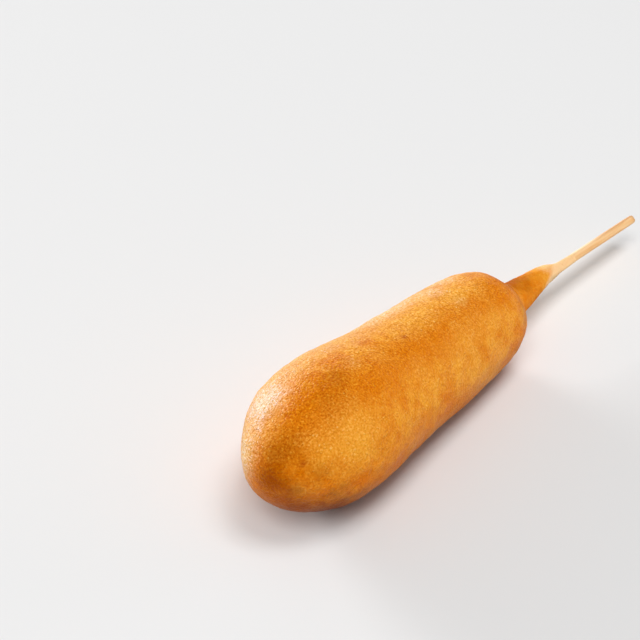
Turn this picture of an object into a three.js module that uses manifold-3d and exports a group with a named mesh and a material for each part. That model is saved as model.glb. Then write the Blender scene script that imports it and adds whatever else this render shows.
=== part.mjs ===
// A corn dog on a flat wooden stick, lying on its side on a small flattened strip.
//
// Millimetres, +Z up. +X runs from the rounded tip, along the battered body and
// the neck of batter, to the bare end of the stick. The origin lies on the
// surface it rests on, under the middle of the whole.

import * as THREE from 'three';
import { mergeVertices } from 'three/addons/utils/BufferGeometryUtils.js';
import Module from 'manifold-3d';

const wasm = await Module();
wasm.setup();

// Battered body. Lengths along it are measured from the tip.
const BODY_LENGTH = 119;
const TIP_RADIUS = 21;
const TIP_RUN = 39.5;              // length over which the tip closes
const TIP_BLUNTNESS = 1.955;       // 2 is an ellipse
const SHOULDER_RADIUS = 16.2;
const SHOULDER_RUN = 18.2;         // length over which the stick end closes
const SHOULDER_BLUNTNESS = 2.25;
const WAIST_AT = 52.7;
const WAIST_DEPTH = 0.93;
const WAIST_REACH = 21.9;
const SIDE_BOW = 0.94;             // sideways curve of the middle line
const SETTLE = 0.5;                // how far the underside is pressed flat

// Uneven places in the crust: distance from the tip, degrees round the body from
// +Y towards +Z, rise above the even form, and reach across the surface.
const SWELLS = [
  { along: 3.2, around: -55, rise: 0.29, reach: 6 },
  { along: 8, around: 0, rise: -0.14, reach: 7 },
  { along: 19, around: 24, rise: 0.44, reach: 8 },
  { along: 20, around: -131, rise: -0.18, reach: 8 },
  { along: 31, around: -144, rise: -0.32, reach: 8 },
  { along: 37, around: -90, rise: 0.65, reach: 12 },
  { along: 38, around: 46, rise: 0.16, reach: 8 },
  { along: 52, around: -149, rise: 0.12, reach: 10 },
  { along: 55, around: 47, rise: -0.36, reach: 7 },
  { along: 66, around: -146, rise: 0.14, reach: 9 },
  { along: 74, around: 45, rise: -0.26, reach: 8 },
  { along: 79, around: -146, rise: 0.23, reach: 8 },
  { along: 93, around: 47, rise: 0.1, reach: 8 },
  { along: 104, around: -155, rise: -0.44, reach: 7 },
  { along: 112, around: 168, rise: 0.12, reach: 5 },
  { along: 113, around: 97, rise: -0.46, reach: 5 },
];

// Stick: a flat strip with rounded corners, turned so that it stands nearly on edge.
const STICK_LENGTH = 140;
const STICK_WIDTH = 5.2;
const STICK_THICKNESS = 2.7;
const STICK_CORNER = 0.9;
const STICK_END_ROUND = 1.1;       // length of the rounding at each end
const STICK_END_INSET = 0.7;       // and its depth
const STICK_TURN = 43;             // degrees from +Y to the stick's flat face
const STICK_END_X = 189;           // bare end, from the tip
const STICK_SIDE_SLOPE = -0.0632;  // sideways drift for each unit along
const STICK_FALL_SLOPE = -0.0543;

// Neck: batter that runs up the stick and ends in a thin lip round it.
const NECK_START = 104;            // hidden in the body
const NECK_END = 144.5;
const NECK_SEEN_FROM = 124;
const NECK_HALF_THICKNESS = 5.25;   // at NECK_SEEN_FROM, square to the stick's flat face
const LIP_HALF_THICKNESS = 2.45;
const LIP_ROUNDING = 0.2;
const LIP_ROUND_RUN = 5;
const NECK_HALF_WIDTH = 5.5;
const LIP_HALF_WIDTH = 3.6;
const LIP_INSET = 0.93;            // share of the lip's size left at its rounded rim
const LIP_RIM = 0.5;               // length of that rounding
const NECK_LEAN = 0.72;            // fuller on the upper side towards the lip
const NECK_LEAN_AT = 137.5;
const NECK_LEAN_REACH = 7;
const NECK_DROP = 0.28;            // and on the lower side at the body
const NECK_DROP_AT = 122;
const NECK_DROP_REACH = 5;

// Where the stick's axis passes the end of the neck, before the body settles.
const EXIT_SIDE = -2.75;
const EXIT_HEIGHT = 13.87;

const SOCKET_GAP = 0.3;

// Puts the origin under the middle of the whole.
const TIP_X = -94.6;
const AXIS_Y = -0.28;

// Fineness of the meshes
const BODY_SIDES = 48;
const BODY_STATIONS = 46;
const NECK_SIDES = 28;
const NECK_STATIONS = 12;
const CORNER_STEPS = 3;

const BATTER_COLOUR = 0xc9822f;
const WOOD_COLOUR = 0xe9c08a;

const clamp01 = (value) => Math.min(Math.max(value, 0), 1);
const bell = (distance, reach) => Math.exp(-((distance / reach) ** 2));
const radians = THREE.MathUtils.degToRad;

// Height change of the body's middle line for each unit along, so that both the
// thick tip and the slimmer shoulder touch the surface below.
const AXIS_FALL = (SHOULDER_RADIUS - TIP_RADIUS) / (BODY_LENGTH - TIP_RUN - SHOULDER_RUN);
const AXIS = new THREE.Vector3(1, 0, AXIS_FALL).normalize();
const AXIS_UP = new THREE.Vector3(-AXIS.z, 0, AXIS.x);

function bodyRadius(along) {
  const straight = (along - TIP_RUN) / (BODY_LENGTH - TIP_RUN - SHOULDER_RUN);
  const share = THREE.MathUtils.clamp(straight, -0.3, 1.3);
  const full = THREE.MathUtils.lerp(TIP_RADIUS, SHOULDER_RADIUS, share)
    - WAIST_DEPTH * bell(along - WAIST_AT, WAIST_REACH);
  const tip = 1 - clamp01(1 - along / TIP_RUN) ** TIP_BLUNTNESS;
  const shoulder = 1 - clamp01(1 - (BODY_LENGTH - along) / SHOULDER_RUN) ** SHOULDER_BLUNTNESS;
  return full * Math.sqrt(clamp01(tip * shoulder));
}

function bodyCentre(along) {
  const share = along / BODY_LENGTH;
  const side = SIDE_BOW * (4 * share * (1 - share) - 0.5);
  const height = TIP_RADIUS + AXIS_FALL * (along - TIP_RUN) - SETTLE;
  return new THREE.Vector3(along, side, height);
}

function outward(around) {
  return new THREE.Vector3(0, Math.cos(around), 0).addScaledVector(AXIS_UP, Math.sin(around));
}

function evenSkin(along, around) {
  return bodyCentre(along).addScaledVector(outward(around), bodyRadius(along));
}

function skinNormal(along, around) {
  const step = 0.02;
  const before = Math.max(along - step, 0);
  const after = Math.min(along + step, BODY_LENGTH);
  const steepness = (bodyRadius(after) - bodyRadius(before)) / (after - before);
  return outward(around).addScaledVector(AXIS, -steepness).normalize();
}

const swellCentres = SWELLS.map((swell) => evenSkin(swell.along, radians(swell.around)));

// A point of the crust: the even form raised or lowered by the swells near it.
function crustPoint(along, around) {
  const point = evenSkin(along, around);
  let rise = 0;
  SWELLS.forEach((swell, index) => {
    rise += swell.rise * bell(point.distanceTo(swellCentres[index]), swell.reach);
  });
  return point.addScaledVector(skinNormal(along, around), rise);
}

// The stick's own directions: along it, square to its flat face, and across its width.
const stickAlong = new THREE.Vector3(1, STICK_SIDE_SLOPE, STICK_FALL_SLOPE).normalize();
const stickFlat = new THREE.Vector3(0, Math.cos(radians(STICK_TURN)), Math.sin(radians(STICK_TURN)));
stickFlat.addScaledVector(stickAlong, -stickFlat.dot(stickAlong)).normalize();
const stickAcross = new THREE.Vector3().crossVectors(stickAlong, stickFlat);

function stickAxis(along) {
  const beyond = along - NECK_END;
  const side = EXIT_SIDE + STICK_SIDE_SLOPE * beyond;
  const height = EXIT_HEIGHT + STICK_FALL_SLOPE * beyond - SETTLE;
  return new THREE.Vector3(along, side, height);
}

// A point of the neck: an oval round the stick, round at the body and flatter at the lip.
function neckPoint(along, around, share) {
  const run = (along - NECK_SEEN_FROM) / (NECK_END - NECK_SEEN_FROM);
  const rounding = LIP_ROUNDING * clamp01(1 - (NECK_END - along) / LIP_ROUND_RUN) ** 2;
  const thick = THREE.MathUtils.lerp(NECK_HALF_THICKNESS, LIP_HALF_THICKNESS + LIP_ROUNDING, run) - rounding;
  const wide = THREE.MathUtils.lerp(NECK_HALF_WIDTH, LIP_HALF_WIDTH, run);
  const lean = NECK_LEAN * bell(along - NECK_LEAN_AT, NECK_LEAN_REACH)
    - NECK_DROP * bell(along - NECK_DROP_AT, NECK_DROP_REACH);
  return stickAxis(along)
    .addScaledVector(stickFlat, lean + thick * share * Math.cos(around))
    .addScaledVector(stickAcross, wide * share * Math.sin(around));
}

// Moves each point of a turned form to the place that its station, angle and
// distance from the axis ask for.
function reshape(geometry, place) {
  const positions = geometry.attributes.position;
  for (let i = 0; i < positions.count; i += 1) {
    const across = Math.hypot(positions.getX(i), positions.getZ(i));
    const around = across < 1e-6 ? 0 : Math.atan2(positions.getX(i), positions.getZ(i));
    const point = place(positions.getY(i), around, across);
    positions.setXYZ(i, point.x, point.y, point.z);
  }
  return geometry;
}

// A closed geometry as a solid for joining and cutting.
function solid(geometry) {
  const bare = geometry.clone();
  bare.deleteAttribute('normal');
  bare.deleteAttribute('uv');
  const merged = mergeVertices(bare, 1e-4);
  const corners = Array.from(merged.index.array);
  const triVerts = [];
  for (let i = 0; i < corners.length; i += 3) {
    const [a, b, c] = corners.slice(i, i + 3);
    if (a !== b && b !== c && c !== a) triVerts.push(a, b, c);
  }
  return new wasm.Manifold(new wasm.Mesh({
    numProp: 3,
    vertProperties: new Float32Array(merged.attributes.position.array),
    triVerts: new Uint32Array(triVerts),
  }));
}

function geometryOf(manifold) {
  const mesh = manifold.getMesh();
  const geometry = new THREE.BufferGeometry();
  geometry.setAttribute('position', new THREE.BufferAttribute(mesh.vertProperties, 3));
  geometry.setIndex(new THREE.BufferAttribute(mesh.triVerts, 1));
  geometry.computeVertexNormals();
  return geometry;
}

// The body, turned about its length and then bent and swollen into shape. The
// stations crowd towards both ends, where the form closes.
function bodySolid() {
  const profile = [];
  for (let i = 0; i <= BODY_STATIONS; i += 1) {
    const along = (BODY_LENGTH * (1 - Math.cos((Math.PI * i) / BODY_STATIONS))) / 2;
    profile.push(new THREE.Vector2(bodyRadius(along), along));
  }
  profile[0].x = 0;
  profile[BODY_STATIONS].x = 0;
  return solid(reshape(new THREE.LatheGeometry(profile, BODY_SIDES), crustPoint));
}

function neckSolid() {
  const profile = [new THREE.Vector2(0, NECK_START)];
  for (let i = 0; i < NECK_STATIONS; i += 1) {
    const along = THREE.MathUtils.lerp(NECK_START, NECK_END - LIP_RIM, i / (NECK_STATIONS - 1));
    profile.push(new THREE.Vector2(1, along));
  }
  profile.push(new THREE.Vector2(LIP_INSET, NECK_END), new THREE.Vector2(0, NECK_END));
  return solid(reshape(new THREE.LatheGeometry(profile, NECK_SIDES), neckPoint));
}

// The stick's section, grown on every side by the gap of the socket that holds it.
function stickSection(gap) {
  const x = STICK_THICKNESS / 2 + gap;
  const y = STICK_WIDTH / 2 + gap;
  const corner = STICK_CORNER + gap;
  const section = new THREE.Shape();
  section.absarc(x - corner, y - corner, corner, 0, Math.PI * 0.5);
  section.absarc(corner - x, y - corner, corner, Math.PI * 0.5, Math.PI);
  section.absarc(corner - x, corner - y, corner, Math.PI, Math.PI * 1.5);
  section.absarc(x - corner, corner - y, corner, Math.PI * 1.5, Math.PI * 2);
  return section;
}

// Turns a form extruded along +Z to lie along the stick, starting at its hidden end.
const stickStart = stickAxis(STICK_END_X).addScaledVector(stickAlong, -STICK_LENGTH);
const stickTurn = new THREE.Matrix4().makeBasis(stickFlat, stickAcross, stickAlong);

function stickGeometry() {
  return new THREE.ExtrudeGeometry(stickSection(0), {
    depth: STICK_LENGTH - 2 * STICK_END_ROUND,
    curveSegments: CORNER_STEPS,
    bevelThickness: STICK_END_ROUND,
    bevelSize: STICK_END_INSET,
    bevelOffset: -STICK_END_INSET,
    bevelSegments: CORNER_STEPS,
  });
}

function socketSolid() {
  const socket = new THREE.ExtrudeGeometry(stickSection(SOCKET_GAP), {
    depth: STICK_LENGTH + SOCKET_GAP,
    curveSegments: CORNER_STEPS,
    bevelEnabled: false,
  });
  socket.translate(0, 0, -SOCKET_GAP);
  socket.applyMatrix4(stickTurn);
  socket.translate(stickStart.x, stickStart.y, stickStart.z);
  return solid(socket);
}

// Everything above the surface that the corn dog rests on.
function spaceAbove() {
  const size = 3 * BODY_LENGTH;
  const box = new THREE.BoxGeometry(size, size, size);
  box.translate(BODY_LENGTH / 2, 0, size / 2);
  return solid(box);
}

function batterSolid() {
  return bodySolid().add(neckSolid()).subtract(socketSolid()).intersect(spaceAbove());
}

const batter = new THREE.Mesh(
  geometryOf(batterSolid()),
  new THREE.MeshStandardMaterial({ color: BATTER_COLOUR, roughness: 0.6, metalness: 0 }),
);
batter.name = 'batter';

const stick = new THREE.Mesh(
  stickGeometry(),
  new THREE.MeshStandardMaterial({ color: WOOD_COLOUR, roughness: 0.7, metalness: 0 }),
);
stick.name = 'stick';
stick.position.copy(stickStart).addScaledVector(stickAlong, STICK_END_ROUND);
stick.quaternion.setFromRotationMatrix(stickTurn);

const cornDog = new THREE.Group();
cornDog.position.set(TIP_X, AXIS_Y, 0);
cornDog.add(batter, stick);

export default cornDog;
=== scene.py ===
"""A corn dog on a flat wooden stick, lying on its side on a pale studio floor.

+X runs from the rounded tip, along the battered body and the neck of batter, to
the bare end of the stick, and +Z is up. The classes hold their sizes and work in
millimetres measured from the tip, and each finished mesh is brought to metres in
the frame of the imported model.
"""

from __future__ import annotations

import logging
import math
import random
from collections.abc import Callable, Sequence
from dataclasses import dataclass
from enum import Enum

import bmesh
import bpy
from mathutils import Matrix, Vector, kdtree, noise

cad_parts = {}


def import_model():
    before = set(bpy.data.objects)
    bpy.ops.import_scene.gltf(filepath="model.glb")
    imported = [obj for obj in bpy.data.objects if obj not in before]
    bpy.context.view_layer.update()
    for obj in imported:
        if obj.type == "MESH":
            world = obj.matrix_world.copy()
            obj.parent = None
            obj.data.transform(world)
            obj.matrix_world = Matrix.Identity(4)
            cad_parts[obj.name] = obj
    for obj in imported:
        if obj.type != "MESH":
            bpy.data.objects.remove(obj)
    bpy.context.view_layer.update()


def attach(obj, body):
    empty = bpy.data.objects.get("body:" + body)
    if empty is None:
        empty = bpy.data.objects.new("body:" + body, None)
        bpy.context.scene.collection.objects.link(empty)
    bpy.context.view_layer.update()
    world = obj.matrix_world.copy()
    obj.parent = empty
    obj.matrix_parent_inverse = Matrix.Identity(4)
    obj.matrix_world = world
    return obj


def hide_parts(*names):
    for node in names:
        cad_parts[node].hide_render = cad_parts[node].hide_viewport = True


log = logging.getLogger("corn_dog")

METRES = 0.001  # one millimetre
TIP_PLACE = Vector((-94.6, -0.28, 0.0))  # the tip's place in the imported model, in millimetres
SEED = 20
SAME_PLACE = 1e-4  # points of an unshaped skin that are this close are one

Ring = Callable[[float], Vector]  # from an angle round a skin to its point on one ring
Socket = bpy.types.NodeSocket
Colour = tuple[float, float, float, float]
Span = tuple[float, float]  # where something starts and where it ends
WHITE = (1.0, 1.0, 1.0, 1.0)


class Body(str, Enum):
    """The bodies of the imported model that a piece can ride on."""

    WHOLE = "root"


class Slot(str, Enum):
    """The record's material slots."""

    CRUST = "crust"
    WOOD = "stick_wood"


def clamp01(value: float) -> float:
    """Holds a value between 0 and 1."""
    return min(max(value, 0.0), 1.0)


def lerp(start: float, end: float, share: float) -> float:
    """The value that lies a share of the way from start to end."""
    return start + (end - start) * share


def bell(distance: float, reach: float) -> float:
    """A soft hump: 1 at no distance, fading out over the reach."""
    return math.exp(-((distance / reach) ** 2))


def ease(value: float, low: float, high: float) -> float:
    """Rises smoothly from 0 at low to 1 at high."""
    share = clamp01((value - low) / (high - low))
    return share * share * (3.0 - 2.0 * share)


def linear(value: int) -> float:
    """The light, 0 to 1, that a screen gives for a value, by the standard curve."""
    share = value / 255.0
    return share / 12.92 if share <= 0.04045 else ((share + 0.055) / 1.055) ** 2.4


def tone(red: int, green: int, blue: int) -> Colour:
    """A full colour as a shader takes it, from its values on a screen, 0 to 255."""
    return (linear(red), linear(green), linear(blue), 1.0)


# Materials


@dataclass(frozen=True)
class Noise:
    """Soft uneven noise, about 0 to 1 with its middle at 0.5."""

    wave: float  # millimetres between its lumps, roughly
    detail: float = 2.0  # how many finer layers it holds
    rough: float = 0.5  # how strong they are
    reach: float = 0.0  # how far an edge that follows it wanders, either way


@dataclass(frozen=True)
class Zone:
    """A part of a surface with a colour of its own."""

    colour: Colour  # the colour
    span: Span  # the two places, in millimetres, between which it fades
    shares: Span  # how much of it shows at each of them


class Finish:
    """A material under work, with short calls for the nodes that the finishes share."""

    def __init__(self, name: str) -> None:
        """Starts a material.

        Args:
            name: The material's name.
        """
        self.material = bpy.data.materials.new(name)
        self.material.use_nodes = True
        self.tree = self.material.node_tree
        self.place = self.tree.nodes.new("ShaderNodeTexCoord").outputs["Object"]

    def finished(self, inputs: dict[str, object]) -> bpy.types.Material:
        """Sets the surface's own sockets.

        Args:
            inputs: Values or nodes' outputs for them.

        Returns:
            The material.
        """
        surface = self.tree.nodes["Principled BSDF"]
        for socket, value in inputs.items():
            self.feed(surface.inputs[socket], value)
        return self.material

    def add(self, kind: str, inputs: dict[str | int, object], **settings: object) -> bpy.types.Node:
        """Adds a node.

        Args:
            kind: The node's type.
            inputs: Values or other nodes' outputs for its sockets.
            settings: The node's own settings.

        Returns:
            The node.
        """
        node = self.tree.nodes.new(kind)
        for setting, value in settings.items():
            setattr(node, setting, value)
        for socket, value in inputs.items():
            self.feed(node.inputs[socket], value)
        return node

    def feed(self, socket: Socket, value: object) -> None:
        """Links an output to a socket, or sets the socket's own value.

        Args:
            socket: The socket.
            value: The output or the value.
        """
        if isinstance(value, Socket):
            self.tree.links.new(value, socket)
        else:
            socket.default_value = value

    def maths(self, operation: str, *values: object) -> Socket:
        """One step of arithmetic on numbers."""
        return self.add("ShaderNodeMath", dict(enumerate(values)), operation=operation).outputs[0]

    def vector(self, operation: str, output: str, *values: object) -> Socket:
        """One step of arithmetic on vectors."""
        node = self.add("ShaderNodeVectorMath", dict(enumerate(values)), operation=operation)
        return node.outputs[output]

    def axis(self, name: str) -> Socket:
        """The place's own X, Y or Z, in metres."""
        return self.add("ShaderNodeSeparateXYZ", {0: self.place}).outputs[name]

    def away_from(self, point: Vector) -> Socket:
        """The way to the place, in metres, from a point in millimetres from the tip."""
        return self.vector("SUBTRACT", "Vector", self.place, tuple((point + TIP_PLACE) * METRES))

    def along(self, way: Vector, point: Vector) -> Socket:
        """Distance in metres from such a point, measured one way."""
        return self.vector("DOT_PRODUCT", "Value", self.away_from(point), tuple(way))

    def towards(self, lean: float, side: Socket, up: Socket) -> Socket:
        """Reads the distance towards a direction.

        Args:
            lean: Degrees from upright to the direction, towards the far side.
            side: The place across, in metres.
            up: The height, in metres.

        Returns:
            The distance, in metres.
        """
        lean = math.radians(lean)
        raised = self.maths("MULTIPLY", up, math.cos(lean))
        return self.maths("MULTIPLY_ADD", side, math.sin(lean), raised)

    def between(
        self, value: Socket, low: float, high: float, start: float = 0.0, end: float = 1.0
    ) -> Socket:
        """Turns a number from low to high into one from start to end, softly."""
        inputs = {0: value, 1: low, 2: high, 3: start, 4: end}
        return self.add("ShaderNodeMapRange", inputs, interpolation_type="SMOOTHSTEP").outputs[0]

    def over(self, value: Socket, span: Span, start: float = 0.0, end: float = 1.0) -> Socket:
        """Turns a length in metres into a share, softly, over a span in millimetres."""
        return self.between(value, span[0] * METRES, span[1] * METRES, start, end)

    def cloud(self, pattern: Noise, place: Socket | None = None) -> Socket:
        """Reads noise.

        Args:
            pattern: Its kind.
            place: The coordinates to read it at, or None for the object's own.

        Returns:
            The noise.
        """
        inputs = {
            "Vector": self.place if place is None else place,
            "Scale": 1.0 / (pattern.wave * METRES),
            "Detail": pattern.detail,
            "Roughness": pattern.rough,
        }
        return self.add("ShaderNodeTexNoise", inputs).outputs[0]

    def wander(self, pattern: Noise) -> Socket:
        """An uneven length in metres, up to the noise's reach either way."""
        reach = pattern.reach * METRES
        return self.maths("MULTIPLY_ADD", self.cloud(pattern), 2.0 * reach, -reach)

    def cells(self, wave: float) -> Socket:
        """Distance to the nearest of many scattered points, a wave apart."""
        inputs = {"Vector": self.place, "Scale": 1.0 / (wave * METRES)}
        return self.add("ShaderNodeTexVoronoi", inputs).outputs["Distance"]

    def blend(self, share: object, first: object, second: object, kind: str = "MIX") -> Socket:
        """Mixes two colours.

        Args:
            share: How much of the second shows, 0 to 1.
            first: The colour below.
            second: The colour on top.
            kind: The way of mixing.

        Returns:
            The mixed colour's output.
        """
        node = self.add("ShaderNodeMix", {}, data_type="RGBA", blend_type=kind)
        wanted = {("Factor", "VALUE"): share, ("A", "RGBA"): first, ("B", "RGBA"): second}
        for socket in node.inputs:
            if (socket.name, socket.type) in wanted:
                self.feed(socket, wanted.pop((socket.name, socket.type)))
        return next(socket for socket in node.outputs if socket.type == "RGBA")

    def tinted(self, colour: Socket, zone: Zone, value: Socket) -> Socket:
        """Blends a zone's colour in, by a length in metres."""
        return self.blend(self.over(value, zone.span, *zone.shares), colour, zone.colour)

    def relief(self, height: Socket, depth: float, normal: Socket | None = None) -> Socket:
        """Fine relief that only the shading shows.

        Args:
            height: The height's output, 0 to 1.
            depth: The height that 1 stands for, in millimetres.
            normal: The relief below, or None.

        Returns:
            The normal's output.
        """
        inputs = {"Height": height, "Distance": depth * METRES, "Strength": 1.0}
        if normal is not None:
            inputs["Normal"] = normal
        return self.add("ShaderNodeBump", inputs).outputs[0]


@dataclass(frozen=True)
class Patch:
    """A place where the crust is darker or paler: most are fried colour, and those marked in PATCHES are
    painted shade, painted shadow or painted highlight.
    """

    centre: tuple[float, float, float]  # its middle, in millimetres from the tip
    reach: float  # how far it spreads
    strength: float  # how much of its colour shows
    colour: Colour  # its colour
    stretch: float = 1.0  # how many times further it runs lengthwise

    def zone(self) -> Zone:
        """Its colour, by distance from its middle."""
        return Zone(self.colour, (0.0, self.reach), (self.strength, 0.0))


# painted sheen: the whitish gloss high on the far side of the tip
SHEEN_CREAM = tone(230, 206, 172)
# painted highlight: the rims where the back light grazes
HIGHLIGHT_CREAM = tone(248, 208, 142)
# also the painted rim light of the far side
SOFT_CREAM = tone(232, 178, 92)
SOFT_GOLD = tone(243, 176, 60)
SOFT_BROWN = tone(221, 123, 0)
RUSSET = tone(228, 114, 0)
# the browns serve for fried colour and also for painted shade and painted shadow
DARK_BROWN = tone(168, 78, 0)
DEEP_BROWN = tone(120, 45, 0)
RED_BROWN = tone(184, 80, 6)
# the tan of the stick's end, and also the painted shade along its upper face
TAN_END_AND_SHADE = tone(196, 140, 84)

PATCHES = (
    Patch((19.5, -13.5, 32.3), 15, 0.8, SOFT_GOLD),
    Patch((70, 0, 36), 10, 0.7, SOFT_GOLD, 2.6),
    Patch((90, -1, 34), 7, 0.8, SOFT_GOLD, 1.8),
    Patch((78, -13, 29), 10, 0.45, SOFT_GOLD, 2.6),
    # painted rim highlight on the far side
    Patch((72, 10, 33), 9, 0.5, HIGHLIGHT_CREAM, 2.6),
    Patch((18, -2, 40.5), 15, 0.6, SOFT_BROWN),
    Patch((32.5, 1, 42), 9, 0.6, SOFT_BROWN),
    # darker low on the tip's near side: partly fried colour and partly painted shade
    Patch((3, -7, 14), 16, 0.9, DARK_BROWN),
    Patch((12.5, -12.5, 7), 16.5, 1, DEEP_BROWN, 1.3),
    Patch((-0.5, -4, 24.5), 8.5, 1, DARK_BROWN),
    Patch((6, -4.5, 32.5), 8, 0.4, DARK_BROWN),
    Patch((17, -18, 24), 7, 0.3, SOFT_BROWN),
    Patch((55, -13, 33), 6, 0.4, SOFT_GOLD),
    Patch((97, -5, 32), 7, 0.3, SOFT_GOLD),
    Patch((10, 0, 37), 6, 0.4, SOFT_BROWN),
    Patch((42, -19, 23), 8, 0.3, SOFT_BROWN, 1.5),
    Patch((2, -2.5, 30), 6, 0.4, DARK_BROWN),
    # painted rim highlight on the far side
    Patch((87, 5, 34), 6, 0.4, HIGHLIGHT_CREAM),
    Patch((8, -13, 27), 6, 0.25, DARK_BROWN),
    Patch((10.5, -9.5, 34), 5, 0.5, SOFT_GOLD),
    Patch((46, -5, 39), 6, 0.4, SOFT_GOLD),
    Patch((86, -16, 14), 9, 0.4, SOFT_GOLD, 1.8),
    # painted highlight and painted sheen on the far side of the tip
    Patch((3, 9.5, 25), 10, 0.8, HIGHLIGHT_CREAM),
    Patch((14.5, 10.5, 35.5), 10, 0.85, SHEEN_CREAM),
    Patch((22, -6.5, 40), 9, 0.18, DARK_BROWN),
    Patch((110, -1, 28.5), 9, 0.7, SOFT_BROWN),
    Patch((112, -4, 26), 8, 0.5, DARK_BROWN),
    Patch((110, -13.5, 20.5), 7, 0.45, DARK_BROWN),
    # painted shadow on the upper side of the neck
    Patch((122, 4, 20), 12.5, 0.9, DARK_BROWN, 1.3),
    Patch((123, 2, 20), 10, 0.3, DEEP_BROWN),
    # painted rim highlight; the next, at the lip, is partly pale film and partly painted highlight
    Patch((97, 9, 31), 7, 0.5, HIGHLIGHT_CREAM),
    Patch((140, -2, 19.2), 7.2, 1, HIGHLIGHT_CREAM),
    Patch((135, -5.5, 16.5), 5, 0.5, SOFT_GOLD),
    Patch((94, -12, 28), 6, 0.35, SOFT_GOLD),
    Patch((75, -17, 21), 7, 0.5, SOFT_GOLD, 1.5),
    Patch((28.5, -3.5, 41.2), 6.5, 0.3, DARK_BROWN),
    Patch((11, -15.5, 22.5), 4.5, 0.35, SOFT_BROWN),
    Patch((4, -10.2, 22.3), 3.5, 0.2, SOFT_GOLD),
    Patch((9.5, -14, 16.5), 4, 0.35, DARK_BROWN),
    Patch((36.8, -2.9, 41.2), 4, 0.3, SOFT_CREAM),
    Patch((88, -3.7, 33.5), 4, 0.4, SOFT_CREAM),
    Patch((59.2, -4.1, 37.1), 1.5, 0.8, RED_BROWN),
    Patch((6, -9.5, 29.6), 1.4, 0.7, RED_BROWN),
    Patch((15.9, -17.1, 16.7), 1.4, 0.7, RED_BROWN),
)


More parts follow.
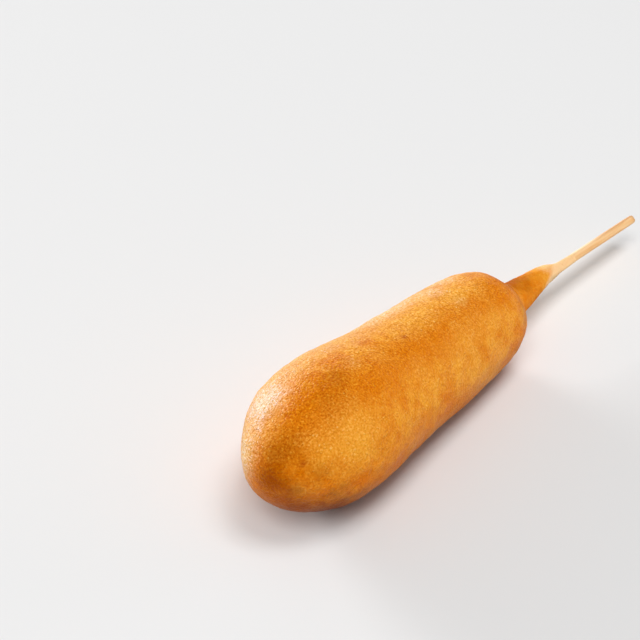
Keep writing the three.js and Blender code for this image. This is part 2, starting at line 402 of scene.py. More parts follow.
@dataclass
class FriedCrust(Finish):
    """Deep-fried cornmeal batter: golden, mottled, finely grained and a little oily, with painted
    highlights and painted shade in places.

    Lengths are in millimetres. A span names where a change starts and where it ends.
    """

    form: CornDogForm  # the shape whose middle line and stick place the colours
    golden: Colour = tone(240, 166, 46)  # the even fried colour
    brown: Colour = SOFT_BROWN  # its browner clouds
    mottle: Noise = Noise(7.5, 3.0, 0.75)  # the noise of those clouds
    mottle_span: Span = (0.28, 0.72)  # its values from golden to brown
    painted_far_highlight: Zone = Zone(SOFT_CREAM, (-2.0, 11.0), (0.0, 0.6))  # painted rim light: paler where the back light falls, by place across
    far_edge: Noise = Noise(16.0, reach=5.0)  # the waves of its edge
    band: Zone = Zone(SOFT_BROWN, (2.0, 10.0), (0.75, 0.0))  # browner, partly fried colour and partly painted shade, by distance from its line
    band_lean: float = 28.0  # degrees from upright to that line, towards the near side
    band_rise: Span = (2.0, 12.0)  # distances from the body's middle line where the band starts
    browned_and_shaded_low_side: Zone = Zone(RUSSET, (-4.0, 7.0), (0.5, 0.0))  # the browner lower side, partly fried colour and partly painted shade, by height over the middle line
    underside: Zone = Zone(DARK_BROWN, (-19.0, -6.0), (0.8, 0.0))  # the dark underside, partly fried colour and partly painted shade, likewise
    low_edge: Noise = Noise(9.0, 3.0, reach=4.0)  # the waves of both their edges
    ragged: Noise = Noise(5.0, 3.0, 0.7, reach=0.6)  # of a patch's edge, as a share of its reach
    film: Zone = Zone(tone(249, 208, 154), (-0.9, 0.9), (0.0, 1.0))  # by distance past its start
    film_from: float = 138.9  # where the film starts on the stick
    film_slant: float = 1.66  # how far its edge slants across the stick
    film_edge: Noise = Noise(2.4, reach=0.7)  # the waves of that edge
    pale: Colour = (1.19, 1.54, 3.7, 1.0)  # what a cornmeal grain does to the colour, as factors
    deep: Colour = (0.78, 0.56, 0.1, 1.0)  # what a pore does to it
    palest: Colour = tone(253, 230, 192)  # the colour that no grain goes past
    speckle: Noise = Noise(0.6, 1.0, 0.6)  # the noise of fine specks and pores
    speck_span: Span = (0.52, 0.70)  # its values in a speck
    pore_span: Span = (0.32, 0.50)  # its values in a pore
    speck_share: float = 0.46  # how strongly the grain is coloured
    speck_depth: float = 0.27  # height of the specks
    grit_wave: float = 1.0  # distance between coarser grains
    grit_span: Span = (0.10, 0.36)  # from a grain's middle to its edge, in waves
    grit_depth: float = 0.12  # their height
    peel: Noise = Noise(1.8, 1.0)  # the noise of the soft dimples
    peel_depth: float = 0.24  # their depth
    bare_lean: float = 37.0  # degrees from upright to the side that the back light falls on, where the grain stands out most
    bare_span: Span = (2.0, 12.0)  # distances towards that side
    tip_span: Span = (4.0, 26.0)  # distances from the tip where it also stands out
    tip_gain: float = 6.0  # how far that moves its edge, at the tip
    neck_span: Span = (117.3, 121.3)  # distances from the tip where it calms down on the neck
    neck_calm: float = 0.9  # how much less it stands out there than on the near side
    painted_glint_gain: float = 0.75  # painted glints: how much more the grain is coloured where the back light falls
    relief_gain: float = 0.3  # how much higher it is there
    oil: Colour = (1.0, 0.5, 0.06, 1.0)  # the tint of the gloss, seen head on
    gloss: float = 0.21  # how strong it is
    ior: float = 1.46  # refractive index of the oily skin
    oiled: Noise = Noise(7.0, 3.0)  # the noise of the oilier places
    oiled_span: Span = (0.3, 0.7)  # its values from the oiliest to the driest
    roughness: Span = (0.44, 0.6)  # how blurred the gloss is, likewise
    neck_dullness: float = 0.3  # how much rougher the neck is, as far as its grain is calmed
    mattness: float = 1.0  # how evenly the crust's own colour spreads light
    softness: float = 0.06  # how much light scatters inside it
    depth: float = 2.0  # how far that light spreads

    def __post_init__(self) -> None:
        """Starts the material and reads what its colours and its relief share."""
        super().__init__("fried_cornmeal_crust")
        self.height = self.above_middle()
        # the side that the back light falls on, where the grain's colour gives painted glints
        self.bare = self.back_lit_side()
        self.specks = self.cloud(self.speckle)
        self.grits = self.between(self.cells(self.grit_wave), *self.grit_span, 1.0, 0.0)

    def made(self) -> bpy.types.Material:
        """Makes the material.

        Returns:
            The material.
        """
        clouds = self.between(self.cloud(self.mottle), *self.mottle_span)
        colour = self.blend(clouds, self.golden, self.brown)
        colour = self.with_underside_and_shade(self.with_rim_light_and_band(colour))
        colour = self.with_film(self.with_flecks_and_glints(self.with_patches(colour)))
        inputs = {
            "Base Color": colour,
            "Roughness": self.oiliness(),
            "Normal": self.grain(),
            "IOR": self.ior,
            "Specular IOR Level": self.gloss,
            "Specular Tint": self.oil,
            "Diffuse Roughness": self.mattness,
            "Subsurface Weight": self.softness,
            "Subsurface Scale": self.depth * METRES,
        }
        return self.finished(inputs)

    def above_middle(self) -> Socket:
        """Reads the height over the body's middle line.

        Returns:
            The height, in metres.
        """
        level = self.form.centre(-TIP_PLACE.x).z * METRES  # the line's own height where X is 0
        middle = self.maths("MULTIPLY_ADD", self.axis("X"), self.form.axis_fall, level)
        return self.maths("SUBTRACT", self.axis("Z"), middle)

    def back_lit_side(self) -> Socket:
        """Works out where the back light falls, where the grain stands out and its colour gives painted
        glints.

        Returns:
            0 on the near side, 1 on top and behind, and less than 0 on the neck.
        """
        facing = self.towards(self.bare_lean, self.axis("Y"), self.height)
        run = self.maths("SUBTRACT", self.axis("X"), TIP_PLACE.x * METRES)
        at_tip = self.over(run, self.tip_span, self.tip_gain * METRES, 0.0)
        bare = self.over(self.maths("ADD", facing, at_tip), self.bare_span)
        fall = self.maths("ADD", bare, self.neck_calm)
        calm = self.maths("MULTIPLY", self.over(run, self.neck_span), fall)
        return self.maths("SUBTRACT", bare, calm)

    def with_rim_light_and_band(self, colour: Socket) -> Socket:
        """Adds the paler far side, which is painted rim light, and the browner band along the top on the
        near side, which is partly fried colour and partly painted shade.

        Args:
            colour: The colour so far.

        Returns:
            The new colour.
        """
        side = self.maths("ADD", self.axis("Y"), self.wander(self.far_edge))
        colour = self.tinted(colour, self.painted_far_highlight, side)
        aside = self.maths("ABSOLUTE", self.towards(90.0 - self.band_lean, side, self.height))
        near = self.over(aside, self.band.span, *self.band.shares)
        above = self.over(self.towards(-self.band_lean, side, self.height), self.band_rise)
        return self.blend(self.maths("MULTIPLY", near, above), colour, self.band.colour)

    def with_underside_and_shade(self, colour: Socket) -> Socket:
        """Adds the browner lower side and the dark underside, both partly fried colour and partly painted
        shade.

        Args:
            colour: The colour so far.

        Returns:
            The new colour.
        """
        height = self.maths("ADD", self.height, self.wander(self.low_edge))
        for zone in (self.browned_and_shaded_low_side, self.underside):
            colour = self.tinted(colour, zone, height)
        return colour

    def with_patches(self, colour: Socket) -> Socket:
        """Adds the darker and paler places, some of them painted shade and painted highlight, with ragged
        edges.

        Args:
            colour: The colour so far.

        Returns:
            The new colour.
        """
        reach = self.ragged.reach
        ragged = self.maths("MULTIPLY_ADD", self.cloud(self.ragged), 2.0 * reach, 1.0 - reach)
        for patch in PATCHES:
            offset = self.away_from(Vector(patch.centre))
            offset = self.vector("MULTIPLY", "Vector", offset, (1.0 / patch.stretch, 1.0, 1.0))
            away = self.maths("MULTIPLY", self.vector("LENGTH", "Value", offset), ragged)
            colour = self.tinted(colour, patch.zone(), away)
        return colour

    def with_flecks_and_glints(self, colour: Socket) -> Socket:
        """Adds dense pale cornmeal grains, with deeper orange in the pores between them, coloured more
        strongly as painted glints where the back light falls.

        Args:
            colour: The colour so far.

        Returns:
            The new colour.
        """
        gain = self.speck_share * self.painted_glint_gain
        share = self.maths("MULTIPLY_ADD", self.bare, gain, self.speck_share)
        spots = (
            (self.between(self.specks, *self.pore_span, 1.0, 0.0), self.deep),
            (self.between(self.specks, *self.speck_span), self.pale),
            (self.grits, self.pale),
        )
        for amount, factors in spots:
            colour = self.blend(self.maths("MULTIPLY", amount, share), colour, factors, "MULTIPLY")
        return self.blend(1.0, colour, self.palest, "DARKEN")

    def with_film(self, colour: Socket) -> Socket:
        """Adds the pale film of batter that runs up the stick past the lip.

        Args:
            colour: The colour so far.

        Returns:
            The new colour.
        """
        stick = self.form.stick
        slant = (stick.along - stick.flat * self.film_slant).normalized()
        beyond = self.along(slant, stick.axis(self.film_from))
        return self.tinted(colour, self.film, self.maths("ADD", beyond, self.wander(self.film_edge)))

    def oiliness(self) -> Socket:
        """Makes an uneven gloss where the oil film is thicker, and a duller neck.

        Returns:
            The roughness.
        """
        clouds = self.between(self.cloud(self.oiled), *self.oiled_span, *self.roughness)
        neck = self.maths("MINIMUM", self.bare, 0.0)
        return self.maths("MULTIPLY_ADD", neck, -self.neck_dullness, clouds)

    def grain(self) -> Socket:
        """Makes fine and coarser cornmeal grain over soft orange peel.

        Returns:
            The normal.
        """
        gain = self.maths("MULTIPLY_ADD", self.bare, self.relief_gain, 1.0)
        normal = self.relief(self.cloud(self.peel), self.peel_depth)
        normal = self.relief(self.maths("MULTIPLY", self.grits, gain), self.grit_depth, normal)
        return self.relief(self.maths("MULTIPLY", self.specks, gain), self.speck_depth, normal)


@dataclass
class PaleWood(Finish):
    """A plain birch strip: pale, with faint lengthwise grain, a tan end, and painted highlight and shade
    on its upper face.

    Lengths are in millimetres.
    """

    stick: StickForm  # the strip whose direction the grain follows
    light: Colour = tone(252, 207, 152)  # the bare wood
    grain: Colour = tone(238, 176, 108)  # its darker streaks
    streaks: Noise = Noise(0.9, 3.0, 0.6)  # their noise, across the strip
    streak_span: Span = (0.35, 0.7)  # its values from bare wood to streak
    streak_share: float = 0.8  # how much of their colour shows
    stretch: float = 0.05  # how much shorter the noise is read along the strip
    pores: Noise = Noise(0.5, 2.0, 0.6)  # the noise of the pores
    pore_depth: float = 0.05  # their depth
    end: Zone = Zone(TAN_END_AND_SHADE, (-2.2, 0.2), (0.0, 0.75))  # the tan end, by distance past it
    upper_face_highlight: Colour = tone(244, 210, 172)  # painted highlight: the paler upper face, where the light grazes it
    face_share: float = 0.6  # how much of that shows
    face_inset: Span = (0.75, 0.15)  # depths where the upper face's colours start and are full
    edge: Zone = Zone(TAN_END_AND_SHADE, (-30.0, -12.0), (0.0, 0.8))  # painted shade: that face's tan along the bare part, by the same distance
    roughness: float = 0.7  # how blurred its faint shine is
    shine: float = 0.15  # how strong that is
    softness: float = 0.05  # how much light scatters inside it
    depth: float = 1.0  # how far that light spreads

    def __post_init__(self) -> None:
        """Starts the material."""
        super().__init__("pale_birch")

    def made(self) -> bpy.types.Material:
        """Makes the material.

        Returns:
            The material.
        """
        fibres = self.fibres()
        streaks = self.cloud(self.streaks, fibres)
        streaks = self.between(streaks, *self.streak_span, 0.0, self.streak_share)
        colour = self.blend(streaks, self.light, self.grain)
        inputs = {
            "Base Color": self.with_end_stain_and_painted_light(colour),
            "Roughness": self.roughness,
            "Specular IOR Level": self.shine,
            "Normal": self.relief(self.cloud(self.pores, fibres), self.pore_depth),
            "Subsurface Weight": self.softness,
            "Subsurface Scale": self.depth * METRES,
        }
        return self.finished(inputs)

    def fibres(self) -> Socket:
        """Draws the coordinates out along the strip.

        Returns:
            The new coordinates.
        """
        ways = (self.stick.along * self.stretch, self.stick.flat, self.stick.across)
        parts = [self.vector("DOT_PRODUCT", "Value", self.place, tuple(way)) for way in ways]
        return self.add("ShaderNodeCombineXYZ", dict(enumerate(parts))).outputs[0]

    def with_end_stain_and_painted_light(self, colour: Socket) -> Socket:
        """Adds the tan end, and the upper face, which is paler as painted highlight and turns tan along
        the bare part as painted shade.

        Args:
            colour: The colour so far.

        Returns:
            The new colour.
        """
        end = self.stick.axis(self.stick.end_x)
        run = self.along(self.stick.along, end)
        colour = self.tinted(colour, self.end, run)
        start, full = (self.stick.thickness / 2 - inset for inset in self.face_inset)
        upper = self.over(self.along(self.stick.flat, end), (start, full))
        colour = self.blend(self.maths("MULTIPLY", upper, self.face_share), colour, self.upper_face_highlight)
        tan = self.maths("MULTIPLY", upper, self.over(run, self.edge.span, *self.edge.shares))
        return self.blend(tan, colour, self.edge.colour)


@dataclass
class StudioPaper(Finish):
    """The plain pale paper that the corn dog lies on."""

    colour: Colour = tone(228, 228, 228)
    roughness: float = 0.9  # how blurred its faint shine is
    shine: float = 0.1  # how strong that is

    def __post_init__(self) -> None:
        """Starts the material."""
        super().__init__("studio_paper")

    def made(self) -> bpy.types.Material:
        """Makes the material.

        Returns:
            The material.
        """
        inputs = {
            "Base Color": self.colour,
            "Roughness": self.roughness,
            "Specular IOR Level": self.shine,
        }
        return self.finished(inputs)


# Shapes


def spun_tube(rings: Sequence[Ring], sides: int) -> bmesh.types.BMesh:
    """A closed skin through a row of rings.

    A straight profile with one point for each ring is spun round its own axis, closed at
    both ends, and each point then moves to its place on its ring.

    Args:
        rings: One function for each ring, from an angle in radians to a point. The first
            and the last give one point whatever the angle.
        sides: Points round each ring.

    Returns:
        The bmesh, with its faces pointing out and each point's ring in the layer "ring".
    """
    bm = bmesh.new()
    last = len(rings) - 1
    profile = [bm.verts.new((float(i), 1.0 if 0 < i < last else 0.0, 0.0)) for i in range(last + 1)]
    edges = [bm.edges.new(pair) for pair in zip(profile, profile[1:])]
    bmesh.ops.spin(
        bm,
        geom=profile + edges,
        cent=(0.0, 0.0, 0.0),
        axis=(1.0, 0.0, 0.0),
        dvec=(0.0, 0.0, 0.0),
        angle=math.tau,
        steps=sides,
        use_merge=True,
        use_duplicate=False,
    )
    bmesh.ops.remove_doubles(bm, verts=bm.verts[:], dist=SAME_PLACE)
    layer = bm.verts.layers.int.new("ring")
    for vert in bm.verts:
        number = round(vert.co.x)
        vert[layer] = number
        vert.co = rings[number](math.atan2(vert.co.z, vert.co.y))
    bmesh.ops.recalc_face_normals(bm, faces=bm.faces[:])
    bm.normal_update()
    return bm


def to_piece(bm: bmesh.types.BMesh, name: str, material: bpy.types.Material) -> bpy.types.Object:
    """Makes a finished object of a bmesh that is in millimetres from the tip.

    Args:
        bm: The bmesh, which is freed.
        name: The object's name.
        material: Its finish.

    Returns:
        The object, at the origin, in metres.
    """
    bmesh.ops.translate(bm, verts=bm.verts[:], vec=TIP_PLACE)
    bmesh.ops.scale(bm, verts=bm.verts[:], vec=(METRES, METRES, METRES))
    for face in bm.faces:
        face.smooth = True
    return linked(bm, name, material)


def linked(bm: bmesh.types.BMesh, name: str, material: bpy.types.Material) -> bpy.types.Object:
    """Puts a bmesh in the scene as it is.

    Args:
        bm: The bmesh, which is freed.
        name: The object's name.
        material: Its finish.

    Returns:
        The object.
    """
    mesh = bpy.data.meshes.new(name)
    bm.to_mesh(mesh)
    bm.free()
    mesh.materials.append(material)
    piece = bpy.data.objects.new(name, mesh)
    bpy.context.scene.collection.objects.link(piece)
    return piece


def rounded_reach(around: float, half_x: float, half_y: float, corner: float) -> float:
    """Distance from the middle of a rounded rectangle to its edge.

    Args:
        around: The direction, in radians from its X.
        half_x: Half its size along X.
        half_y: Half its size along Y.
        corner: The radius of its corners.

    Returns:
        The distance.
    """
    x, y = abs(math.cos(around)), abs(math.sin(around))
    if x * (half_y - corner) >= y * half_x:
        return half_x / x
    if y * (half_x - corner) >= x * half_y:
        return half_y / y
    along = (half_x - corner) * x + (half_y - corner) * y
    square = (half_x - corner) ** 2 + (half_y - corner) ** 2
    return along + math.sqrt(max(along * along - square + corner * corner, 0.0))


@dataclass
class StickForm:
    """The flat wooden stick: a strip with rounded corners, turned nearly on edge."""

    length: float = 140.0  # its whole length, most of it hidden in the batter
    width: float = 5.2  # size across its flat face
    thickness: float = 2.7  # size through it
    corner: float = 0.9  # radius of its long corners
    least_corner: float = 0.02  # the least that a shrunk corner keeps
    end_round: float = 1.1  # length of the rounding at each end
    end_inset: float = 0.7  # depth of that rounding
    turn: float = math.radians(43.0)  # angle from +Y to its flat face, in radians
    end_x: float = 188.95  # distance from the tip to its bare end
    side_slope: float = -0.0632  # sideways drift for each unit along
    fall_slope: float = -0.0543  # height change for each unit along
    exit_at: float = 144.5  # where the batter's lip lies
    exit_side: float = -2.75  # its middle's place across, there
    exit_height: float = 13.37  # its middle's height, there
    end_steps: int = 6  # rings in the rounding
    stations: int = 90  # rings along it
    sides: int = 64  # points round it
    fibre_depth: float = 0.035  # height of the raised fibres
    fibre_wave: float = 0.9  # distance between them
    fibre_run: float = 33.0  # how many times longer than wide they are

    def __post_init__(self) -> None:
        """Works out the strip's own directions."""
        self.along = Vector((1.0, self.side_slope, self.fall_slope)).normalized()
        flat = Vector((0.0, math.cos(self.turn), math.sin(self.turn)))
        self.flat = (flat - self.along * self.along.dot(flat)).normalized()
        self.across = self.along.cross(self.flat)

    def axis(self, along: float) -> Vector:
        """Finds the middle of the strip.

        Args:
            along: Distance from the tip.

        Returns:
            The point.
        """
        beyond = along - self.exit_at
        side = self.exit_side + self.side_slope * beyond
        return Vector((along, side, self.exit_height + self.fall_slope * beyond))

    def off_axis(self, around: float, gap: float) -> Vector:
        """Finds the way from the strip's middle to its skin.

        Args:
            around: The direction from its flat face's, in radians.
            gap: How far the skin is grown.

        Returns:
            The way.
        """
        corner = max(self.corner + gap, self.least_corner)
        reach = rounded_reach(around, self.thickness / 2 + gap, self.width / 2 + gap, corner)
        return (self.flat * math.cos(around) + self.across * math.sin(around)) * reach

    def built(self) -> bpy.types.Object:
        """Builds and dresses the stick.

        Returns:
            The piece.
        """
        bm = spun_tube(self.rings(), self.sides)
        for vert in bm.verts:
            place = vert.co - self.axis(self.end_x)
            place -= self.along * place.dot(self.along) * (1.0 - 1.0 / self.fibre_run)
            vert.co += vert.normal * self.fibre_depth * noise.noise(place / self.fibre_wave)
        return to_piece(bm, "birch_stick", PaleWood(self).made())

    def rings(self) -> list[Ring]:
        """Lines up the rings.

        Returns:
            The rings from the hidden end to the bare one.
        """
        rounding = [(0.0, -self.thickness / 2)]
        for step in range(self.end_steps + 1):
            share = step / self.end_steps
            drop = 1 - math.sqrt(1 - (1 - share) ** 2)
            rounding.append((self.end_round * share, -self.end_inset * drop))
        step = (self.length - 2 * self.end_round) / self.stations
        body = [(self.end_round + step * number, 0.0) for number in range(1, self.stations)]
        bare_end = [(self.length - run, gap) for run, gap in reversed(rounding)]
        return [self.ring(run, gap) for run, gap in rounding + body + bare_end]

    def ring(self, run: float, gap: float) -> Ring:
        """Makes one ring.

        Args:
            run: Its distance from the hidden end.
            gap: How far it is grown: below 0 it is shrunk, at most to its middle.

        Returns:
            The ring.
        """
        centre = self.axis(self.end_x) - self.along * (self.length - run)
        if gap <= -self.thickness / 2:
            return lambda around: centre.copy()
        return lambda around: centre + self.off_axis(around, gap)


@dataclass(frozen=True)
class Rounding:
    """How one end of the body closes."""

    radius: float  # the body's radius where the rounding starts
    run: float  # its length
    bluntness: float  # 2 for an ellipse, more for a blunter end

    def closing(self, from_end: float) -> float:
        """What is left of the radius squared, as a share, at a distance from the end."""
        return 1 - clamp01(1 - from_end / self.run) ** self.bluntness


@dataclass(frozen=True)
class Hump:
    """A soft rise along the body or the neck."""

    at: float  # distance from the tip to its middle
    rise: float  # its height, below 0 for a hollow
    reach: float  # how far it spreads

    def height(self, along: float) -> float:
        """Its height at a distance from the tip."""
        return self.rise * bell(along - self.at, self.reach)


@dataclass(frozen=True)
class Swell:
    """An uneven place in the crust."""

    along: float  # distance from the tip
    around: float  # degrees round the body from +Y towards +Z
    rise: float  # height above the even form
    reach: float  # how far it spreads


SWELLS = (
    Swell(3.2, -55, 0.29, 6),
    Swell(8, 0, -0.14, 7),
    Swell(19, 24, 0.44, 8),
    Swell(20, -131, -0.18, 8),
    Swell(31, -144, -0.32, 8),
    Swell(37, -90, 0.65, 12),
    Swell(38, 46, 0.16, 8),
    Swell(52, -149, 0.12, 10),
    Swell(55, 47, -0.36, 7),
    Swell(66, -146, 0.14, 9),
    Swell(74, 45, -0.26, 8),
    Swell(79, -146, 0.23, 8),
    Swell(93, 47, 0.1, 8),
    Swell(104, -155, -0.44, 7),
    Swell(112, 168, 0.12, 5),
    Swell(113, 97, -0.46, 5),
)


@dataclass
class CornDogForm:
    """The battered body, its neck round the stick and the thin film past the lip.

    The body is a turned form whose middle line bows a little and falls towards the
    stick, so that the thick tip and the slimmer shoulder both touch the floor. Sizes are
    in millimetres, and places are distances from the tip.
    """

    stick: StickForm  # the stick that the neck and the film follow
    length: float = 119.0  # where the shoulder would close
    tip: Rounding = Rounding(21.0, 39.5, 1.955)  # how the tip closes
    shoulder: Rounding = Rounding(16.2, 18.2, 2.25)  # how the end at the stick does
    taper_hold: float = 0.3  # how far the taper goes on into each rounding, in straight lengths
    waist: Hump = Hump(52.7, -0.93, 21.9)  # the place where the body is a little slimmer
    side_bow: float = 0.94  # sideways bow of the middle line
    settle: float = 0.5  # how far the body is pressed down on its underside
    body_end: float = 117.3  # where the shoulder meets the neck
    neck_start: float = 118.1  # the neck's first ring
    neck_seen_from: float = 124.0  # where the neck has its widest even size
    neck_end: float = 144.5  # the lip
    neck_thickness: Span = (5.25, 2.45)  # half the neck's size through the stick, widest and at the lip
    neck_width: Span = (5.5, 3.6)  # half its size across the stick, likewise
    neck_lean: Hump = Hump(138.5, 0.55, 6.0)  # how the neck bulges to the upper side
    neck_drop: Hump = Hump(122.0, -0.28, 5.0)  # how it sinks near the body
    fillet: float = 1.1  # rise of the batter into the shoulder
    fillet_run: float = 1.0  # length of that rise
    crease_span: Span = (-1.5, 2.0)  # the softened crease, from the body's end and the neck's start
    crease_rounds: int = 3  # how often it is softened
    crease_softness: float = 0.5  # by how much each time
    film_blend: Span = (-4.0, 3.2)  # where the neck turns into the film, from the lip
    film_end: float = 153.5  # where the film ends
    film_gaps: Span = (0.42, 0.05)  # its thickness at the lip and at the end
    film_bend: float = 0.8  # how that falls: below 1 for sooner
    film_rim: float = 0.04  # width of the rounding that closes it
    socket_gap: float = 0.03  # play round the hidden stick
    socket_rings: int = 9  # rings along the hole for it
    skin_margin: float = 0.1  # room left for the fried relief
    sides: int = 236  # points round the skin
    ring_step: float = 0.53  # distance between the body's rings
    last_step: float = 0.25  # the least that is left before the body's end, as a share of that
    trial_steps: int = 4000  # short steps that the rings are picked from
    slope_reach: float = 0.02  # how far either way the skin's slope is read
    neck_step: float = 0.45  # distance between the neck's rings
    # the relief's waves: height, distance apart and a shift of the pattern
    relief: tuple[tuple[float, float, Span], ...] = (
        (0.16, 8.5, (0.0, 0.0)),
        (0.14, 3.4, (7.0, 1.0)),
        (0.08, 1.5, (2.0, 9.0)),
    )
    relief_limit: float = 0.16  # the most that the relief rises
    lip_span: Span = (-6.0, 2.0)  # where the relief fades, from the lip
    lip_smoothness: float = 0.85  # how much of it is gone past the lip
    bubble_count: int = 260  # how many small blisters and pits there are
    bubble_sizes: Span = (0.45, 0.8)  # their smallest and largest radius
    bubble_heights: tuple[float, ...] = (0.07, 0.09, -0.08, -0.12)  # the heights to draw from
    bubble_reach: float = 1.8  # how far one is felt
    flat_softness: float = 0.12  # how softly the underside is pressed flat

    def __post_init__(self) -> None:
        """Works out the middle line's directions and the places of the swells."""
        self.straight = self.length - self.tip.run - self.shoulder.run  # between the roundings
        self.axis_fall = (self.shoulder.radius - self.tip.radius) / self.straight
        self.axis = Vector((1.0, 0.0, self.axis_fall)).normalized()
        self.axis_up = Vector((-self.axis.z, 0.0, self.axis.x))
        self.swells = [
            (swell, self.even_skin(swell.along, math.radians(swell.around))) for swell in SWELLS
        ]

    def radius(self, along: float) -> float:
        """Works out the body's even radius.

        Args:
            along: Distance from the tip.

        Returns:
            The radius.
        """
        share = (along - self.tip.run) / self.straight
        share = min(max(share, -self.taper_hold), 1.0 + self.taper_hold)
        full = lerp(self.tip.radius, self.shoulder.radius, share) + self.waist.height(along)
        closing = self.tip.closing(along) * self.shoulder.closing(self.length - along)
        return full * math.sqrt(clamp01(closing))

    def centre(self, along: float) -> Vector:
        """Follows the middle line, which bows as much to one side as to the other.

        Args:
            along: Distance from the tip.

        Returns:
            The point.
        """
        share = along / self.length
        bow = 4 * share * (1 - share) - 1 / 2
        height = self.tip.radius + self.axis_fall * (along - self.tip.run) - self.settle
        return Vector((along, self.side_bow * bow, height))

    def outward(self, around: float) -> Vector:
        """The way out from the middle line at an angle."""
        return Vector((0.0, math.cos(around), 0.0)) + self.axis_up * math.sin(around)

    def even_skin(self, along: float, around: float) -> Vector:
        """A point of the even form."""
        return self.centre(along) + self.outward(around) * self.radius(along)

    def skin_normal(self, along: float, around: float) -> Vector:
        """Finds the way out from the even form's skin.

        Args:
            along: Distance from the tip.
            around: The angle round the middle line.

        Returns:
            The way.
        """
        before, after = max(along - self.slope_reach, 0.0), min(along + self.slope_reach, self.length)
        steepness = (self.radius(after) - self.radius(before)) / (after - before)
        return (self.outward(around) - self.axis * steepness).normalized()

    def crust_point(self, along: float, around: float) -> Vector:
        """Raises or lowers the even form by the swells near a place.

        Args:
            along: Distance from the tip.
            around: The angle round the middle line.

        Returns:
            The crust's point.
        """
        point = self.even_skin(along, around)
        rise = sum(swell.rise * bell((point - place).length, swell.reach) for swell, place in self.swells)
        return point + self.skin_normal(along, around) * (rise - self.skin_margin)

    def neck_point(self, along: float, around: float) -> Vector:
        """Shapes the neck, an oval round the stick, and the film past its lip.

        Args:
            along: Distance from the tip.
            around: The angle round the stick.

        Returns:
            The point.
        """
        turned = around - self.stick.turn
        run = (along - self.neck_seen_from) / (self.neck_end - self.neck_seen_from)
        flare = self.fillet * math.exp(-(along - self.neck_start) / self.fillet_run)
        thick = lerp(*self.neck_thickness, run) + flare
        wide = lerp(*self.neck_width, run) + flare
        lean = self.neck_lean.height(along) + self.neck_drop.height(along)
        oval = self.stick.flat * (lean + thick * math.cos(turned))
        oval += self.stick.across * (wide * math.sin(turned))
        film = self.stick.off_axis(turned, self.film_gap(along))
        share = ease(along - self.neck_end, *self.film_blend)
        return self.stick.axis(along) + oval.lerp(film, share)

    def film_gap(self, along: float) -> float:
        """The film's thickness at a distance from the tip."""
        share = clamp01((along - self.neck_end) / (self.film_end - self.neck_end))
        return lerp(*self.film_gaps, share**self.film_bend)

    def body_stations(self) -> list[float]:
        """Parts the body's skin into even steps.

        Returns:
            Their distances from the tip.
        """
        quarter = math.pi / 2 / self.trial_steps
        places = [self.body_end * (1 - math.cos(quarter * i)) for i in range(self.trial_steps + 1)]
        stations, run = [], 0.0
        for before, after in zip(places, places[1:]):
            run += math.hypot(after - before, self.radius(after) - self.radius(before))
            if run >= self.ring_step:
                stations.append(after)
                run -= self.ring_step
        if self.body_end - stations[-1] < self.ring_step * self.last_step:
            stations.pop()
        return stations + [self.body_end]

    def rings(self) -> tuple[list[Ring], int]:
        """Lines up the rings of the whole skin.

        Returns:
            The rings, and how many of them are outside the socket.
        """
        tip = self.crust_point(0.0, 0.0)
        rings: list[Ring] = [lambda around: tip.copy()]
        rings += [lambda around, s=s: self.crust_point(s, around) for s in self.body_stations()]
        steps = int((self.film_end - self.neck_start) / self.neck_step)
        neck = [self.neck_start + self.neck_step * step for step in range(steps)]
        neck.append(self.film_end - self.film_rim)
        rings += [lambda around, s=s: self.neck_point(s, around) for s in neck]
        outside = len(rings)
        stick = self.stick
        end = stick.axis(stick.end_x) - stick.along * (stick.length + self.socket_gap)
        for number in range(self.socket_rings + 1):
            centre = stick.axis(lerp(self.film_end, end.x, number / self.socket_rings))
            rings.append(
                lambda around, c=centre: c + stick.off_axis(around - stick.turn, self.socket_gap)
            )
        rings.append(lambda around: end.copy())
        return rings, outside

    def built(self) -> bpy.types.Object:
        """Builds and dresses the batter.

        Returns:
            The piece.
        """
        rings, outside = self.rings()
        bm = spun_tube(rings, self.sides)
        layer = bm.verts.layers.int["ring"]
        skin = [vert for vert in bm.verts if vert[layer] < outside]
        low, high = self.body_end + self.crease_span[0], self.neck_start + self.crease_span[1]
        crease = [vert for vert in skin if low < vert.co.x < high]
        every_axis = {"use_axis_x": True, "use_axis_y": True, "use_axis_z": True}
        for _ in range(self.crease_rounds):
            bmesh.ops.smooth_vert(bm, verts=crease, factor=self.crease_softness, **every_axis)
        bm.normal_update()
        self.roughen(skin)
        for vert in skin:
            vert.co.z = self.pressed(vert.co.z)
        return to_piece(bm, "batter_crust", FriedCrust(self).made())

    def roughen(self, skin: list[bmesh.types.BMVert]) -> None:
        """Raises the fried relief on the outer skin.

        Args:
            skin: The points of the outer skin, with their normals up to date.
        """
        bubbles = self.bubbles()
        tree = kdtree.KDTree(len(bubbles))
        for number, (place, _, _) in enumerate(bubbles):
            tree.insert(place, number)
        tree.balance()
        for vert in skin:
            point = vert.co
            fade = 1.0 - self.lip_smoothness * ease(point.x - self.neck_end, *self.lip_span)
            rise = 0.0
            for height, wave, shift in self.relief:
                rise += height * noise.noise(point / wave + Vector((*shift, 0.0)))
            for _, number, distance in tree.find_range(point, self.bubble_reach):
                _, size, height = bubbles[number]
                rise += height * bell(distance, size)
            vert.co += vert.normal * min(rise, self.relief_limit) * fade

    def bubbles(self) -> list[tuple[Vector, float, float]]:
        """Scatters small blisters and pits.

        Returns:
            The place, size and height of each.
        """
        draw = random.Random(SEED)
        found = []
        for _ in range(self.bubble_count):
            along = draw.uniform(self.bubble_reach, self.body_end - self.bubble_reach)
            place = self.crust_point(along, draw.uniform(0.0, math.tau))
            size = draw.uniform(*self.bubble_sizes)
            found.append((place, size, draw.choice(self.bubble_heights)))
        return found

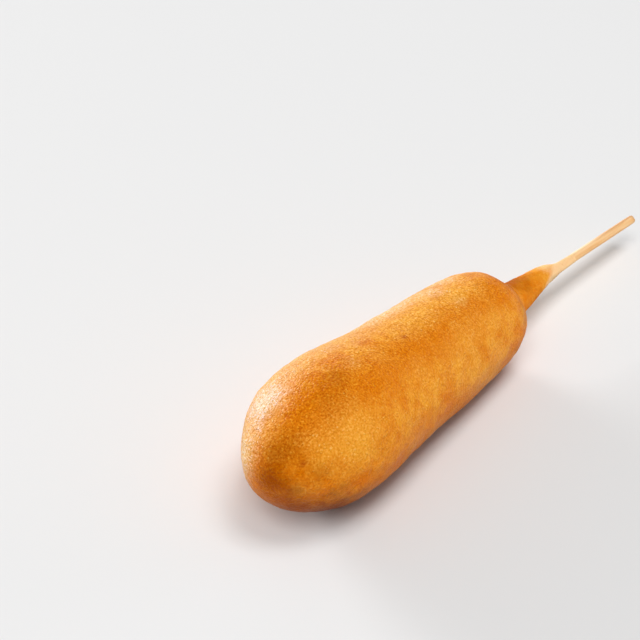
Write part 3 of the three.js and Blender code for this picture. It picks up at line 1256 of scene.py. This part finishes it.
    def pressed(self, height: float) -> float:
        """Presses the underside softly against the floor.

        Args:
            height: A point's height.

        Returns:
            Its height after that.
        """
        if height > self.flat_softness:
            return height
        return self.flat_softness * math.exp(height / self.flat_softness - 1.0)


# Studio


@dataclass(frozen=True)
class SoftBox:
    """A studio light that faces the corn dog."""

    name: str  # its name
    azimuth: float  # its side in degrees: 0 is towards -Y, and 90 towards +X
    elevation: float  # degrees above the floor
    width: float  # its width in metres
    height: float  # its height in metres
    power: float  # its strength in watts
    distance: float = 3.0  # metres from the middle of the corn dog

    def lit(self) -> bpy.types.Object:
        """Makes the light.

        Returns:
            The light.
        """
        data = bpy.data.lights.new(self.name, "AREA")
        data.shape = "RECTANGLE"
        data.size = self.width
        data.size_y = self.height
        data.energy = self.power
        light = bpy.data.objects.new(self.name, data)
        bpy.context.scene.collection.objects.link(light)
        back = direction(self.azimuth, self.elevation)
        light.location = back * self.distance
        light.rotation_euler = back.to_track_quat("Z", "Y").to_euler()
        light.visible_camera = False
        return light


def direction(azimuth: float, elevation: float) -> Vector:
    """The way from the middle towards a side and a height, both in degrees."""
    a, e = math.radians(azimuth), math.radians(elevation)
    return Vector((math.sin(a) * math.cos(e), -math.cos(a) * math.cos(e), math.sin(e)))


@dataclass(frozen=True)
class Studio:
    """The pale floor, the soft lights and the camera."""

    camera_azimuth: float = -53.082  # the camera's side, in degrees
    camera_elevation: float = 35.0  # its height above the floor, in degrees
    camera_distance: float = 572.886  # millimetres from its target
    # the point it looks at, in millimetres from the tip
    camera_target: tuple[float, float, float] = (94.728, 51.658, -0.5)
    view_angle: float = 20.0  # the width of its view, in degrees
    sensor: float = 36.0  # the width of its sensor, in millimetres
    floor_size: float = 8.0  # the floor's side, in metres
    floor_cells: int = 8  # how many cells it has along a side
    surround: float = 0.25  # the strength of the light from all round
    # the soft lights: name, azimuth, elevation, width, height and power
    lights: tuple[SoftBox, ...] = (
        SoftBox("window_behind", 170.0, 8.0, 1.1, 0.8, 108.0),
        SoftBox("lamp_above", 0.0, 75.0, 1.2, 1.2, 34.0),
        SoftBox("lamp_in_front", 297.0, 54.0, 1.2, 1.2, 36.0),
        SoftBox("wall_at_the_side", 60.0, 10.0, 1.4, 1.0, 8.0),
        SoftBox("wall_behind", 130.0, 8.0, 1.4, 0.8, 8.0),
    )

    def built(self) -> None:
        """Sets up the whole studio."""
        self.set_floor()
        for light in self.lights:
            light.lit()
        self.set_surround()
        self.set_camera()
        bpy.context.scene.view_settings.view_transform = "Standard"

    def set_floor(self) -> None:
        """Lays the floor, a flat grid at height 0."""
        bm = bmesh.new()
        cells = {"x_segments": self.floor_cells, "y_segments": self.floor_cells}
        bmesh.ops.create_grid(bm, size=self.floor_size / 2, **cells)
        linked(bm, "studio_floor", StudioPaper().made())

    def set_surround(self) -> None:
        """Gives even light from all round."""
        world = bpy.data.worlds.new("studio_surround")
        world.use_nodes = True
        background = world.node_tree.nodes["Background"]
        background.inputs["Color"].default_value = WHITE
        background.inputs["Strength"].default_value = self.surround
        bpy.context.scene.world = world

    def set_camera(self) -> None:
        """Places the camera."""
        data = bpy.data.cameras.new("camera")
        data.sensor_width = self.sensor
        data.lens = self.sensor / 2 / math.tan(math.radians(self.view_angle / 2))
        camera = bpy.data.objects.new("camera", data)
        bpy.context.scene.collection.objects.link(camera)
        back = direction(self.camera_azimuth, self.camera_elevation)
        target = Vector(self.camera_target) + TIP_PLACE
        camera.location = (target + back * self.camera_distance) * METRES
        camera.rotation_euler = (-back).to_track_quat("-Z", "Y").to_euler()
        bpy.context.scene.camera = camera


def dress(piece: bpy.types.Object, node: str) -> None:
    """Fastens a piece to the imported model.

    Args:
        piece: The finished piece.
        node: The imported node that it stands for.
    """
    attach(piece, Body.WHOLE.value)
    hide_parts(node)
    piece.data.calc_loop_triangles()
    log.info("%s stands for %s: %d triangles", piece.name, node, len(piece.data.loop_triangles))


def main() -> None:
    """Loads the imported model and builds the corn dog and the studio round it."""
    logging.basicConfig(level=logging.INFO, format="%(name)s: %(message)s")
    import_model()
    stick = StickForm()
    form = CornDogForm(stick)
    dress(form.built(), "batter")
    dress(stick.built(), "stick")
    Studio().built()


if __name__ == "__main__":
    main()
